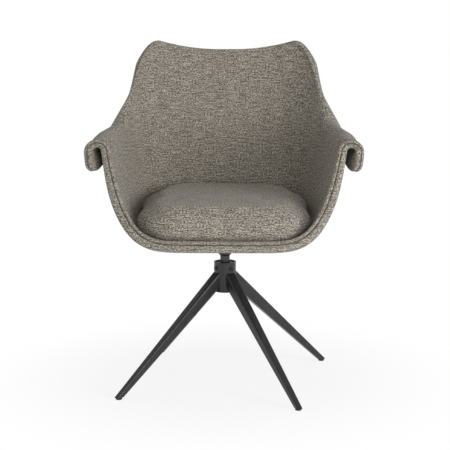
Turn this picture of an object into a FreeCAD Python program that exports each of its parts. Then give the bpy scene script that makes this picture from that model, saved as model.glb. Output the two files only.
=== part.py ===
import FreeCAD, Part
import Sketcher
import os
from math import atan2, cos, pi, sin, sqrt

# Swivel dining chair: an upholstered bucket seat with rolled arms on a turning
# spindle, in a hub with four tapered legs.
# Frame: millimetres, +Z up, the chair faces -Y, the swivel axis is the Z axis
# and the glides stand on z = 0.

Vector = FreeCAD.Vector
Rotation = FreeCAD.Rotation
Placement = FreeCAD.Placement

doc = FreeCAD.newDocument("swivel_dining_chair")

# Driving dimensions

SIZES = {
    # four-leg base
    "foot_radius": 310.0,
    "first_leg_angle": 35.0,
    "leg_count": 4,
    "leg_root_height": 259.0,
    "leg_root_wide": 26.0,
    "leg_root_deep": 31.0,
    "leg_tip_wide": 14.0,
    "leg_tip_deep": 14.0,
    "leg_root_corner": 5.0,
    "leg_tip_corner": 3.5,
    "leg_wall": 2.0,
    "glide_across": 15.5,
    "glide_height": 5.0,
    "glide_edge": 1.0,
    "stud_across": 5.0,
    "stud_length": 4.0,
    "plug_height": 22.0,
    # hub and bearings
    "hub_across": 55.0,
    "hub_wall": 4.5,
    "hub_floor": 233.0,
    "hub_roof": 306.0,
    "cap_flange": 2.0,
    "cap_wall": 2.5,
    "cap_spigot": 4.0,
    "bush_recess": 3.0,
    "upper_bush_length": 22.0,
    "lower_bush_floor": 246.0,
    "lower_bush_length": 14.0,
    "thrust_across": 36.0,
    "thrust_thick": 3.0,
    "running_gap": 0.05,
    "end_gap": 0.3,
    "screw_height": 291.0,
    "screw_across": 6.0,
    "screw_head": 10.0,
    "screw_head_high": 3.2,
    "screw_bite": 3.0,
    "screw_socket": 4.0,
    "screw_seat": 0.6,
    # spindle and seat plate
    "spindle_across": 24.0,
    "journal_across": 16.0,
    "keeper_across": 28.0,
    "keeper_thick": 2.0,
    "keeper_bolt": 8.0,
    "keeper_bolt_length": 14.0,
    "keeper_head": 13.0,
    "keeper_head_high": 5.0,
    "keeper_socket": 6.0,
    "socket_across": 32.0,
    "socket_floor": 322.0,
    "socket_taper": 3.5,
    "plate_side": 150.0,
    "plate_corner": 16.0,
    "plate_thick": 4.0,
    "gusset_reach": 38.0,
    "gusset_drop": 26.0,
    "gusset_nose": 6.0,
    "gusset_thick": 4.0,
    "bolt_pitch": 112.0,
    "bolt_across": 8.0,
    "bolt_head": 14.0,
    "bolt_head_high": 4.5,
    "bolt_socket": 5.0,
    "bolt_play": 0.5,
    "washer_across": 18.0,
    "washer_thick": 1.6,
    "barrel_across": 10.0,
    "nut_across": 20.0,
    "nut_thick": 1.2,
    # upholstered bucket
    "pan_height": 391.0,
    "pad_thick": 22.0,
    "lip_thick": 15.0,
    "rim_bulge": 4.0,
    "lip_corner": 28.0,
    "top_corner": 50.0,
    "seam_inset": 3.0,
    "rim_reach": 400.0,
    "layer_gap": 0.3,
    "inner_share": 0.38,
    "board_share": 0.24,
    # loose seat cushion
    "cushion_half": 209.0,
    "cushion_front": 268.0,
    "cushion_back": 194.0,
    "cushion_high": 88.0,
    "cushion_front_corner": 92.0,
    "cushion_back_corner": 100.0,
    "cushion_back_run": 190.0,
    "cushion_clear": 0.6,
}

sheet = doc.addObject("Spreadsheet::Sheet", "sizes")
for row, (alias, value) in enumerate(SIZES.items(), start=1):
    sheet.set("A%d" % row, alias)
    sheet.set("B%d" % row, str(value))
    sheet.setAlias("B%d" % row, alias)
doc.recompute()


def size(alias):
    """The number that a cell of the sheet holds."""
    return float(sheet.get(alias))


NODES = {}


def node(name, shape_object):
    """Name a finished piece, which is written to its own file."""
    shape_object.Label = name
    NODES[name] = shape_object
    return shape_object


def bind(item, **expressions):
    """Tie properties of an object to cells of the sheet."""
    for prop, text in expressions.items():
        item.setExpression(prop.replace("_", "."), text)
    return item


# Solids of the base and the mechanism


def rod(name, across, floor, length):
    """A cylinder on the swivel axis, given by expressions."""
    item = doc.addObject("Part::Cylinder", name)
    bind(item, Radius="(%s) / 2" % across, Height=length)
    item.setExpression("Placement.Base.z", floor)
    return item


def cut(name, base, tool):
    item = doc.addObject("Part::Cut", name)
    item.Base = base
    item.Tool = tool
    return item


def join(name, pieces):
    item = doc.addObject("Part::MultiFuse", name)
    item.Shapes = pieces
    return item


def group(name, pieces):
    item = doc.addObject("Part::Compound", name)
    item.Links = pieces
    return item


def tube(name, outer, inner, floor, length):
    """A ring or tube on the swivel axis."""
    body = rod(name + "_body", outer, floor, length)
    bore = rod(name + "_bore", inner, "%s - 1" % floor, "%s + 2" % length)
    return cut(name, body, bore)


def turned(name, piece, angle):
    """The same piece, turned about the swivel axis by an expression in degrees."""
    item = group(name, [piece])
    item.setExpression("Placement.Rotation.Angle", angle)
    return item


def radial_rod(name, across, start, length, height):
    """A cylinder that points outward along X from the swivel axis."""
    item = doc.addObject("Part::Cylinder", name)
    bind(item, Radius="(%s) / 2" % across, Height=length)
    item.Placement = Placement(Vector(), Rotation(Vector(0, 1, 0), 90))
    item.setExpression("Placement.Base.x", start)
    item.setExpression("Placement.Base.z", height)
    return item


def hexagon(name, across, floor, length):
    """A hexagonal socket on the swivel axis, measured across its flats."""
    item = doc.addObject("Part::Prism", name)
    item.Polygon = 6
    bind(item, Circumradius="(%s) / sqrt(3)" % across, Height=length)
    item.setExpression("Placement.Base.z", floor)
    return item


LEG_COUNT = int(size("leg_count"))
LEG_ANGLES = ["sizes.first_leg_angle + %g" % (360 / LEG_COUNT * k) for k in range(LEG_COUNT)]
LEG_NAMES = ["back_right", "back_left", "front_left", "front_right"]


def plane_of(body, role):
    for feature in body.Origin.OriginFeatures:
        if feature.Role == role:
            return feature


def rounded_sketch(body, name, wide, deep, corner, offset):
    """A rounded rectangle square to X, wide along Y and deep along Z."""
    sketch = body.newObject("Sketcher::SketchObject", name)
    sketch.AttachmentSupport = [(plane_of(body, "YZ_Plane"), "")]
    sketch.MapMode = "FlatFace"
    sketch.setExpression("AttachmentOffset.Base.z", offset)
    half_wide, half_deep, round_off = 10.0, 12.0, 3.0
    x, y = half_wide - round_off, half_deep - round_off
    centres = [(x, y), (-x, y), (-x, -y), (x, -y)]
    for k, (cx, cy) in enumerate(centres):
        circle = Part.Circle(Vector(cx, cy, 0), Vector(0, 0, 1), round_off)
        sketch.addGeometry(Part.ArcOfCircle(circle, k * pi / 2, (k + 1) * pi / 2), False)
    ends = [((x, half_deep), (-x, half_deep)), ((-half_wide, y), (-half_wide, -y)),
            ((-x, -half_deep), (x, -half_deep)), ((half_wide, -y), (half_wide, y))]
    for (ax, ay), (bx, by) in ends:
        sketch.addGeometry(Part.LineSegment(Vector(ax, ay, 0), Vector(bx, by, 0)), False)
    for k in range(4):
        sketch.addConstraint(Sketcher.Constraint("Tangent", k, 2, 4 + k, 1))
        sketch.addConstraint(Sketcher.Constraint("Tangent", 4 + k, 2, (k + 1) % 4, 1))
    for line, direction in ((4, "Horizontal"), (5, "Vertical"), (6, "Horizontal"), (7, "Vertical")):
        sketch.addConstraint(Sketcher.Constraint(direction, line))
    for k in range(1, 4):
        sketch.addConstraint(Sketcher.Constraint("Equal", 0, k))
    sketch.addConstraint(Sketcher.Constraint("Symmetric", 0, 3, 2, 3, -1, 1))
    wide_id = sketch.addConstraint(Sketcher.Constraint("DistanceX", 5, 1, 7, 1, 2 * half_wide))
    deep_id = sketch.addConstraint(Sketcher.Constraint("DistanceY", 6, 1, 4, 1, 2 * half_deep))
    corner_id = sketch.addConstraint(Sketcher.Constraint("Radius", 0, round_off))
    sketch.setExpression("Constraints[%d]" % wide_id, wide)
    sketch.setExpression("Constraints[%d]" % deep_id, deep)
    sketch.setExpression("Constraints[%d]" % corner_id, corner)
    return sketch


# A leg runs along local X, from the hub's skin to the glide, and continues a
# little past both ends, where it is trimmed.

LEG_RUN = "(sizes.foot_radius - sizes.hub_across / 2)"
LEG_DROP = "(sizes.leg_root_height - sizes.glide_height)"
LEG_LENGTH = "sqrt(%s ^ 2 + %s ^ 2)" % (LEG_RUN, LEG_DROP)
LEG_OVERRUN = "sizes.hub_across / 4"


def leg_bar(name, inset):
    """The tapered bar of a leg, drawn in on every side by inset."""
    body = doc.addObject("PartDesign::Body", name)
    root_share = "(%s) / %s" % (LEG_OVERRUN, LEG_LENGTH)

    def along(root, tip, share):
        return "sizes.%s + (sizes.%s - sizes.%s) * (%s) - 2 * (%s)" % (root, tip, root, share, inset)

    sections = []
    for end, share, offset in (("root", "-" + root_share, "-(%s)" % LEG_OVERRUN),
                               ("tip", "1 + " + root_share, "%s + %s" % (LEG_LENGTH, LEG_OVERRUN))):
        wide = along("leg_root_wide", "leg_tip_wide", share)
        deep = along("leg_root_deep", "leg_tip_deep", share)
        corner = "sizes.leg_%s_corner - (%s) * 0.8" % (end, inset)
        sections.append(rounded_sketch(body, name + "_" + end, wide, deep, corner, offset))
    loft = body.newObject("PartDesign::AdditiveLoft", name + "_loft")
    loft.Profile = sections[0]
    loft.Sections = [sections[1]]
    body.Tip = loft
    body.setExpression("Placement.Base.x", "sizes.hub_across / 2")
    body.setExpression("Placement.Base.z", "sizes.leg_root_height")
    body.Placement.Rotation = Rotation(Vector(0, 1, 0), 1)
    body.setExpression("Placement.Rotation.Angle", "atan(%s / %s)" % (LEG_DROP, LEG_RUN))
    return body


def slab(name, floor, height):
    """A wide flat box across the whole base."""
    item = doc.addObject("Part::Box", name)
    bind(item, Length="4 * sizes.foot_radius", Width="4 * sizes.foot_radius", Height=height)
    item.setExpression("Placement.Base.x", "-2 * sizes.foot_radius")
    item.setExpression("Placement.Base.y", "-2 * sizes.foot_radius")
    item.setExpression("Placement.Base.z", floor)
    return item


leg_outside = leg_bar("leg_outside", "0")
leg_inside = leg_bar("leg_inside", "sizes.leg_wall")
hub_solid = rod("hub_solid", "sizes.hub_across", "sizes.hub_floor - 50",
                "sizes.hub_roof - sizes.hub_floor + 100")
below_foot = slab("below_foot", "-100", "100 + sizes.glide_height")
above_plug = slab("above_plug", "sizes.glide_height + sizes.plug_height", "sizes.hub_roof")
leg_trim = join("leg_trim", [hub_solid, below_foot])
leg_tube = cut("leg_tube", cut("leg_hollow", leg_outside, leg_inside), leg_trim)

stud_hole = doc.addObject("Part::Cylinder", "stud_hole")
bind(stud_hole, Radius="sizes.stud_across / 2 + sizes.running_gap")
bind(stud_hole, Height="sizes.stud_length + sizes.glide_height + 1")
stud_hole.setExpression("Placement.Base.x", "sizes.foot_radius")
plug_trim = join("plug_trim", [below_foot, above_plug, stud_hole])
leg_plug = cut("leg_plug", leg_inside, plug_trim)


def glide_body():
    """A round glide with a chamfered sole and a stud on top."""
    disc = doc.addObject("Part::Cylinder", "glide_disc")
    bind(disc, Radius="sizes.glide_across / 2", Height="sizes.glide_height")
    disc.setExpression("Placement.Base.x", "sizes.foot_radius")
    sole = doc.addObject("Part::Chamfer", "glide_sole")
    sole.Base = disc
    doc.recompute()
    edge = size("glide_edge")
    low = [k for k, e in enumerate(disc.Shape.Edges, start=1) if e.BoundBox.ZMax < edge]
    sole.Edges = [(k, edge, edge) for k in low if disc.Shape.Edges[k - 1].BoundBox.XLength > edge]
    stud = doc.addObject("Part::Cylinder", "glide_stud")
    bind(stud, Radius="sizes.stud_across / 2", Height="sizes.stud_length + 1")
    stud.setExpression("Placement.Base.x", "sizes.foot_radius")
    stud.setExpression("Placement.Base.z", "sizes.glide_height - 1")
    return join("glide", [sole, stud])


glide = glide_body()

for leg_name, angle in zip(LEG_NAMES, LEG_ANGLES):
    node("leg_" + leg_name, turned("leg_at_" + leg_name, leg_tube, angle))
    node("leg_plug_" + leg_name, turned("plug_at_" + leg_name, leg_plug, angle))
    node("glide_" + leg_name, turned("glide_at_" + leg_name, glide, angle))

# Hub, its bearings and the screws that hold the upper bush

HUB_BORE = "(sizes.hub_across - 2 * sizes.hub_wall)"
hub_sleeve = tube("hub_sleeve", "sizes.hub_across", HUB_BORE, "sizes.hub_floor",
                  "(sizes.hub_roof - sizes.hub_floor)")

screw_shank = radial_rod("screw_shank", "sizes.screw_across",
                         HUB_BORE + " / 2 - sizes.screw_bite",
                         "sizes.screw_bite + sizes.hub_wall", "sizes.screw_height")
screw_cap = radial_rod("screw_cap", "sizes.screw_head",
                       "sizes.hub_across / 2 - sizes.screw_seat", "sizes.screw_head_high",
                       "sizes.screw_height")
screw_key = doc.addObject("Part::Prism", "screw_key")
screw_key.Polygon = 6
bind(screw_key, Circumradius="sizes.screw_socket / sqrt(3)", Height="sizes.screw_head_high")
screw_key.Placement = Placement(Vector(), Rotation(Vector(0, 1, 0), 90))
screw_key.setExpression("Placement.Base.x", "sizes.hub_across / 2 + sizes.screw_head_high * 0.2")
screw_key.setExpression("Placement.Base.z", "sizes.screw_height")
hub_screw = cut("hub_screw", join("hub_screw_blank", [screw_shank, screw_cap]), screw_key)

screw_hole = radial_rod("screw_hole", "sizes.screw_across + 2 * sizes.running_gap",
                        HUB_BORE + " / 2 - sizes.screw_bite - sizes.running_gap",
                        "sizes.screw_bite + 2 * sizes.hub_wall", "sizes.screw_height")
screw_flat = radial_rod("screw_flat", "sizes.screw_head + 1",
                        "sizes.hub_across / 2 - sizes.screw_seat", "sizes.hub_across / 4",
                        "sizes.screw_height")
screw_room = join("screw_room", [screw_hole, screw_flat])
screw_rooms = group("screw_rooms", [turned("screw_room_%d" % k, screw_room, angle)
                                    for k, angle in enumerate(LEG_ANGLES)])
node("hub_screws", group("hub_screw_set", [turned("hub_screw_%d" % k, hub_screw, angle)
                                           for k, angle in enumerate(LEG_ANGLES)]))

hub_drilled = cut("hub_drilled", hub_sleeve, screw_rooms)
node("hub_tube", hub_drilled)

upper_bush = tube("upper_bush_blank", HUB_BORE, "sizes.spindle_across + 2 * sizes.running_gap",
                  "sizes.hub_roof - sizes.bush_recess - sizes.upper_bush_length",
                  "sizes.upper_bush_length")
node("upper_bush", cut("upper_bush_drilled", upper_bush, screw_rooms))
node("lower_bush", tube("lower_bush_ring", HUB_BORE, "sizes.journal_across + 2 * sizes.running_gap",
                        "sizes.lower_bush_floor", "sizes.lower_bush_length"))
THRUST_FLOOR = "(sizes.lower_bush_floor + sizes.lower_bush_length)"
node("thrust_washer", tube("thrust_ring", "sizes.thrust_across", "sizes.journal_across + 1",
                           THRUST_FLOOR, "sizes.thrust_thick"))

cap_disc = rod("cap_disc", "sizes.hub_across", "sizes.hub_floor - sizes.cap_flange", "sizes.cap_flange")
cap_spigot = rod("cap_spigot", HUB_BORE, "sizes.hub_floor - 0.1", "sizes.cap_spigot + 0.1")
cap_hollow = rod("cap_hollow", HUB_BORE + " - 2 * sizes.cap_wall", "sizes.hub_floor",
                 "sizes.cap_spigot + 1")
node("hub_bottom_cap", cut("cap_piece", join("cap_blank", [cap_disc, cap_spigot]), cap_hollow))

# Spindle with its keeper below the lower bush

SHOULDER = "(%s + sizes.thrust_thick + sizes.end_gap)" % THRUST_FLOOR
KEEPER_TOP = "(sizes.lower_bush_floor - sizes.end_gap)"
PLATE_TOP = "(sizes.pan_height - sizes.pad_thick)"
PLATE_FLOOR = "(%s - sizes.plate_thick)" % PLATE_TOP
spindle_body = rod("spindle_body", "sizes.spindle_across", SHOULDER, "%s - %s" % (PLATE_FLOOR, SHOULDER))
journal = rod("journal", "sizes.journal_across", KEEPER_TOP, "%s - %s + 1" % (SHOULDER, KEEPER_TOP))
keeper_thread = rod("keeper_thread", "sizes.keeper_bolt + 2 * sizes.running_gap",
                    KEEPER_TOP + " - 1", "sizes.keeper_bolt_length + 2")
node("spindle", cut("spindle_piece", join("spindle_blank", [spindle_body, journal]), keeper_thread))

KEEPER_FLOOR = "(%s - sizes.keeper_thick)" % KEEPER_TOP
node("keeper_washer", tube("keeper_ring", "sizes.keeper_across",
                           "sizes.keeper_bolt + 2 * sizes.running_gap",
                           KEEPER_FLOOR, "sizes.keeper_thick"))
keeper_shank = rod("keeper_shank", "sizes.keeper_bolt", KEEPER_FLOOR + " - 1",
                   "sizes.keeper_thick + sizes.keeper_bolt_length + 1")
keeper_head = rod("keeper_head", "sizes.keeper_head", KEEPER_FLOOR + " - sizes.keeper_head_high",
                  "sizes.keeper_head_high")
keeper_key = hexagon("keeper_key", "sizes.keeper_socket", KEEPER_FLOOR + " - sizes.keeper_head_high - 1",
                     "sizes.keeper_head_high * 0.6 + 1")
keeper_blank = join("keeper_bolt_blank", [keeper_shank, keeper_head])
node("keeper_bolt", cut("keeper_bolt_piece", keeper_blank, keeper_key))

# Seat plate, its socket and gussets

socket_nose = doc.addObject("Part::Cone", "socket_nose")
bind(socket_nose, Radius1="sizes.socket_across / 2 - sizes.socket_taper", Radius2="sizes.socket_across / 2")
bind(socket_nose, Height="sizes.socket_taper")
socket_nose.setExpression("Placement.Base.z", "sizes.socket_floor")
socket_sleeve = rod("socket_sleeve", "sizes.socket_across", "sizes.socket_floor + sizes.socket_taper",
                    "%s - sizes.socket_floor - sizes.socket_taper" % PLATE_FLOOR)
socket_bore = rod("socket_bore", "sizes.spindle_across + 2 * sizes.running_gap", "sizes.socket_floor - 1",
                  "%s - sizes.socket_floor + 2" % PLATE_FLOOR)
node("plate_socket", cut("plate_socket_tube", join("socket_blank", [socket_nose, socket_sleeve]), socket_bore))


def seat_plate_body():
    """A square steel plate with rounded corners and four bolt holes."""
    body = doc.addObject("PartDesign::Body", "seat_plate_body")
    sketch = body.newObject("Sketcher::SketchObject", "plate_outline")
    sketch.AttachmentSupport = [(plane_of(body, "XY_Plane"), "")]
    sketch.MapMode = "FlatFace"
    corners = [(60, 60), (-60, 60), (-60, -60), (60, -60)]
    for k in range(4):
        a, b = corners[k], corners[(k + 1) % 4]
        sketch.addGeometry(Part.LineSegment(Vector(a[0], a[1], 0), Vector(b[0], b[1], 0)), False)
    for k in range(4):
        sketch.addConstraint(Sketcher.Constraint("Coincident", k, 2, (k + 1) % 4, 1))
    for line, direction in enumerate(("Horizontal", "Vertical", "Horizontal", "Vertical")):
        sketch.addConstraint(Sketcher.Constraint(direction, line))
    sketch.addConstraint(Sketcher.Constraint("Symmetric", 0, 1, 2, 1, -1, 1))
    for line, sense in ((0, "DistanceX"), (3, "DistanceY")):
        start, end = (2, 1) if line == 0 else (1, 2)
        side = sketch.addConstraint(Sketcher.Constraint(sense, line, start, line, end, 120.0))
        sketch.setExpression("Constraints[%d]" % side, "sizes.plate_side")
    pad = body.newObject("PartDesign::Pad", "plate_pad")
    pad.Profile = sketch
    bind(pad, Length="sizes.plate_thick")
    body.Tip = pad
    doc.recompute()
    thick = size("plate_thick")
    upright = ["Edge%d" % k for k, edge in enumerate(pad.Shape.Edges, start=1)
               if edge.BoundBox.ZLength > thick / 2]
    fillet = body.newObject("PartDesign::Fillet", "plate_corners")
    fillet.Base = (pad, upright)
    bind(fillet, Radius="sizes.plate_corner")
    body.Tip = fillet
    doc.recompute()
    hole_sketch = body.newObject("Sketcher::SketchObject", "plate_hole")
    hole_sketch.AttachmentSupport = [(plane_of(body, "XY_Plane"), "")]
    hole_sketch.MapMode = "FlatFace"
    hole_sketch.addGeometry(Part.Circle(Vector(50, 50, 0), Vector(0, 0, 1), 4.0), False)
    across = hole_sketch.addConstraint(Sketcher.Constraint("DistanceX", -1, 1, 0, 3, 50.0))
    ahead = hole_sketch.addConstraint(Sketcher.Constraint("DistanceY", -1, 1, 0, 3, 50.0))
    round_id = hole_sketch.addConstraint(Sketcher.Constraint("Radius", 0, 4.0))
    hole_sketch.setExpression("Constraints[%d]" % across, "sizes.bolt_pitch / 2")
    hole_sketch.setExpression("Constraints[%d]" % ahead, "sizes.bolt_pitch / 2")
    hole_sketch.setExpression("Constraints[%d]" % round_id, "(sizes.bolt_across + sizes.bolt_play) / 2")
    pocket = body.newObject("PartDesign::Pocket", "plate_bore")
    pocket.Profile = hole_sketch
    pocket.Type = "ThroughAll"
    pocket.Reversed = True
    body.Tip = pocket
    doc.recompute()
    pattern = body.newObject("PartDesign::PolarPattern", "plate_bores")
    pattern.Originals = [pocket]
    axis = [f for f in body.Origin.OriginFeatures if f.Role == "Z_Axis"][0]
    pattern.Axis = (axis, [""])
    pattern.Angle = 360.0
    pattern.Occurrences = 4
    body.Tip = pattern
    body.setExpression("Placement.Base.z", PLATE_FLOOR)
    return body


node("seat_plate", seat_plate_body())

gusset = doc.addObject("Part::Wedge", "gusset")
gusset.Xmin = 0
gusset.Ymin = 0
gusset.Zmin = 0
gusset.X2min = 0
gusset.Z2min = 0
bind(gusset, Xmax="sizes.gusset_reach", Ymax="sizes.gusset_drop", X2max="sizes.gusset_nose")
bind(gusset, Zmax="sizes.gusset_thick", Z2max="sizes.gusset_thick")
gusset.Placement = Placement(Vector(), Rotation(Vector(1, 0, 0), -90))
gusset.setExpression("Placement.Base.x", "sizes.socket_across / 2 - 0.5")
gusset.setExpression("Placement.Base.y", "-sizes.gusset_thick / 2")
gusset.setExpression("Placement.Base.z", PLATE_FLOOR)
gusset_trim = rod("gusset_trim", "sizes.socket_across", "sizes.socket_floor", "sizes.pan_height")
gusset_piece = cut("gusset_piece", gusset, gusset_trim)
node("plate_gussets", group("gusset_set", [turned("gusset_%d" % k, gusset_piece, "%d" % (90 * k))
                                           for k in range(4)]))

# Bolts, washers and T-nuts at the plate's four holes

BOARD_TOP = "(sizes.pan_height - sizes.pad_thick * sizes.inner_share - sizes.layer_gap / 2)"
BOARD_FLOOR = ("(sizes.pan_height - sizes.pad_thick * (sizes.inner_share + sizes.board_share)"
               " + sizes.layer_gap / 2)")
NUT_SEAT = "(%s + sizes.layer_gap / 2)" % BOARD_TOP
NUT_TOP = "(%s + sizes.nut_thick)" % NUT_SEAT
BOLT_HEAD_TOP = "(%s - sizes.washer_thick)" % PLATE_FLOOR


def at_bolts(name, piece):
    """One piece drawn on the swivel axis, set at the four holes."""
    placed = []
    for k, (sx, sy) in enumerate(((1, 1), (-1, 1), (-1, -1), (1, -1))):
        item = group("%s_%d" % (name, k), [piece])
        item.setExpression("Placement.Base.x", "%d * sizes.bolt_pitch / 2" % sx)
        item.setExpression("Placement.Base.y", "%d * sizes.bolt_pitch / 2" % sy)
        placed.append(item)
    return group(name, placed)


bolt_shank = rod("bolt_shank", "sizes.bolt_across", BOLT_HEAD_TOP + " - 1",
                 "%s - %s + 1" % (NUT_TOP, BOLT_HEAD_TOP))
bolt_head = rod("bolt_head", "sizes.bolt_head", BOLT_HEAD_TOP + " - sizes.bolt_head_high",
                "sizes.bolt_head_high")
bolt_key = hexagon("bolt_key", "sizes.bolt_socket", BOLT_HEAD_TOP + " - sizes.bolt_head_high - 1",
                   "sizes.bolt_head_high * 0.6 + 1")
plate_bolt = cut("plate_bolt", join("plate_bolt_blank", [bolt_shank, bolt_head]), bolt_key)
node("plate_bolts", at_bolts("plate_bolt_set", plate_bolt))

plate_washer = tube("plate_washer", "sizes.washer_across", "sizes.bolt_across + sizes.bolt_play",
                    BOLT_HEAD_TOP, "sizes.washer_thick")
node("plate_washers", at_bolts("plate_washer_set", plate_washer))

BARREL_FLOOR = "(%s - sizes.layer_gap)" % BOARD_FLOOR
nut_barrel = rod("nut_barrel", "sizes.barrel_across", BOARD_FLOOR, "%s - %s" % (NUT_SEAT, BOARD_FLOOR))
nut_flange = rod("nut_flange", "sizes.nut_across", NUT_SEAT, "sizes.nut_thick")
nut_bore = rod("nut_bore", "sizes.bolt_across + 2 * sizes.running_gap", BARREL_FLOOR, "sizes.pad_thick")
t_nut = cut("t_nut", join("t_nut_blank", [nut_barrel, nut_flange]), nut_bore)
node("t_nuts", at_bolts("t_nut_set", t_nut))

# Bucket: the inner skin is swept along stations of the seat and back. Each
# station gives the centre line point and the arm crest or side edge point, both
# as y and height over the pan, then the half width of the flat middle, the half
# width at the crest, how full the curve between them is, the radius of the
# outward roll, the share of a half turn that it makes, and the lip's length.

STATIONS = {
    "front_edge":  (-271.0,  12.0, -155.0, 215.0,  60.0, 275.0, 4.6, 26.0, 1.04, 52.0),
    "knee":        (-210.0,   1.0, -115.0, 221.0, 100.0, 272.0, 4.4, 26.0, 1.10, 50.0),
    "mid_seat":    (-125.0,   0.0,  -65.0, 227.0, 115.0, 268.0, 4.2, 25.0, 1.10, 45.0),
    "pan":         (  -5.0,   0.0,   -5.0, 231.0, 115.0, 262.0, 4.0, 22.0, 1.04, 36.0),
    "rear_seat":   ( 105.0,   0.0,   55.0, 237.0, 105.0, 253.0, 3.8, 20.0, 0.94, 22.0),
    "seat_corner": ( 195.0,  11.0,   95.0, 249.0,  80.0, 243.0, 3.4, 18.0, 0.78, 10.0),
    "lumbar":      ( 221.0, 129.0,  135.0, 293.0,  50.0, 234.0, 2.9, 15.0, 0.50,  3.0),
    "waist":       ( 231.0, 249.0,  163.0, 344.0,  40.0, 227.0, 2.5, 14.0, 0.24,  1.0),
    "shoulder":    ( 247.0, 354.0,  193.0, 409.0,  30.0, 221.0, 2.2, 14.0, 0.10,  0.0),
    "top_edge":    ( 265.0, 428.0,  219.0, 466.0,  20.0, 217.0, 2.0, 14.0, 0.05,  0.0),
}
STATION_ROWS = list(STATIONS.values())
CENTRE_SHARE = 0.33
POLES_HALF_ROUND = 60
POLES_ACROSS = 15
FLAT_SHARE, FREE_SHARE, FIRST_SHARE = 0.34, 0.52, 0.26


def spline_weights(count, share):
    """First index and weights of a clamped even cubic spline of count values."""
    spans = count - 3
    knots = [0.0] * 3 + [k / spans for k in range(spans + 1)] + [1.0] * 3
    span = min(int(share * spans), spans - 1) + 3
    weights = [1.0]
    for degree in range(1, 4):
        raised = [0.0] * (degree + 1)
        for k in range(degree):
            left, right = knots[span - degree + 1 + k], knots[span + 1 + k]
            part = weights[k] / (right - left)
            raised[k] += (right - share) * part
            raised[k + 1] += (share - left) * part
        weights = raised
    return span - 3, weights


def station_at(share):
    """The station's values at a share of the way from front to top."""
    first, weights = spline_weights(len(STATION_ROWS), min(max(share, 0.0), 1.0))
    columns = range(len(STATION_ROWS[0]))
    return [sum(w * STATION_ROWS[first + k][column] for k, w in enumerate(weights)) for column in columns]


def cross_section(station):
    """Half of the skin's section: points out from the centre and up to the crest."""
    centre_y, centre_z, crest_y, crest_z, flat, crest, full, roll, turn, lip = station
    high = sqrt((crest_y - centre_y) ** 2 + (crest_z - centre_z) ** 2)
    points = [(0.0, 0.0), (flat, 0.0)]
    wall_steps, roll_steps = 28, 12
    for k in range(1, wall_steps + 1):
        rise = (k / wall_steps) ** 2
        points.append((flat + (crest - flat) * rise ** (1 / full), high * rise))
    lean = atan2(high, (crest - flat) / full)
    across, up = crest + roll * sin(lean), high - roll * cos(lean)
    for k in range(1, roll_steps + 1):
        angle = lean - turn * (lean + pi / 2) * k / roll_steps
        points.append((across - roll * sin(angle), up + roll * cos(angle)))
    end_x, end_up = points[-1]
    points.append((end_x + (lip + 0.001) * cos(angle), end_up + (lip + 0.001) * sin(angle)))
    return points, high


def lengths_along(points):
    total = [0.0]
    for a, b in zip(points, points[1:]):
        total.append(total[-1] + sqrt(sum((p - q) ** 2 for p, q in zip(a, b))))
    return total


def point_along(points, total, wanted):
    """The point at a wanted length along a line of points."""
    k = 1
    while k < len(total) - 1 and total[k] < wanted:
        k += 1
    part = (wanted - total[k - 1]) / (total[k] - total[k - 1])
    return [p + (q - p) * part for p, q in zip(points[k - 1], points[k])]


def skin_point(share, side):
    """A point of the inner skin: share runs front to top, side from -1 to 1."""
    station = station_at(share)
    points, high = cross_section(station)
    total = lengths_along(points)
    out, up = point_along(points, total, min(abs(side), 1.0) * total[-1])
    rise = up / high
    centre_y, centre_z, crest_y, crest_z = station[:4]
    return Vector(out if side >= 0 else -out,
                  centre_y + (crest_y - centre_y) * rise,
                  size("pan_height") + centre_z + (crest_z - centre_z) * rise)


def skin_normal(share, side):
    """The skin's normal, which points to the sitter."""
    step = 0.012
    along = skin_point(min(share + step, 1.0), side) - skin_point(max(share - step, 0.0), side)
    across = skin_point(share, min(side + step, 1.0)) - skin_point(share, max(side - step, -1.0))
    return across.cross(along).normalize()


def rim_line():
    """The rim as (share, side) pairs, evenly spaced by length all round."""
    steps = 60
    edge = [skin_point(k / 40, 1.0) for k in range(41)]
    side_length = lengths_along([tuple(p) for p in edge])[-1]
    lip_share = size("lip_corner") / side_length
    lip_side = size("lip_corner") / lengths_along(cross_section(station_at(0.0))[0])[-1]
    top_share = 1.3 * size("top_corner") / side_length
    top_side = size("top_corner") / lengths_along(cross_section(station_at(1.0))[0])[-1]
    shares = [k / steps for k in range(steps)]
    pairs = [(0.0, (1 - lip_side) * k) for k in shares]
    pairs += [(lip_share * (1 - cos(pi / 2 * k)), 1 - lip_side * (1 - sin(pi / 2 * k))) for k in shares]
    pairs += [(lip_share + (1 - top_share - lip_share) * k, 1.0) for k in shares]
    pairs += [(1 - top_share * (1 - sin(pi / 2 * k)), 1 - top_side * (1 - cos(pi / 2 * k))) for k in shares]
    pairs += [(1.0, (1 - top_side) * (1 - k)) for k in shares + [1.0]]
    total = lengths_along([tuple(skin_point(*pair)) for pair in pairs])
    half = [point_along(pairs, total, total[-1] * k / POLES_HALF_ROUND) for k in range(POLES_HALF_ROUND + 1)]
    half[-1] = [1.0, 0.0]
    return half + [[share, -side] for share, side in half[-2:0:-1]]


def smooth_step(value):
    value = min(max(value, 0.0), 1.0)
    return value * value * (3 - 2 * value)


def thickness(side):
    """Full thickness of the padded shell, less towards the rolled arms."""
    thin = smooth_step((abs(side) - 0.5) / 0.35)
    return size("pad_thick") + (size("lip_thick") - size("pad_thick")) * thin


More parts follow.
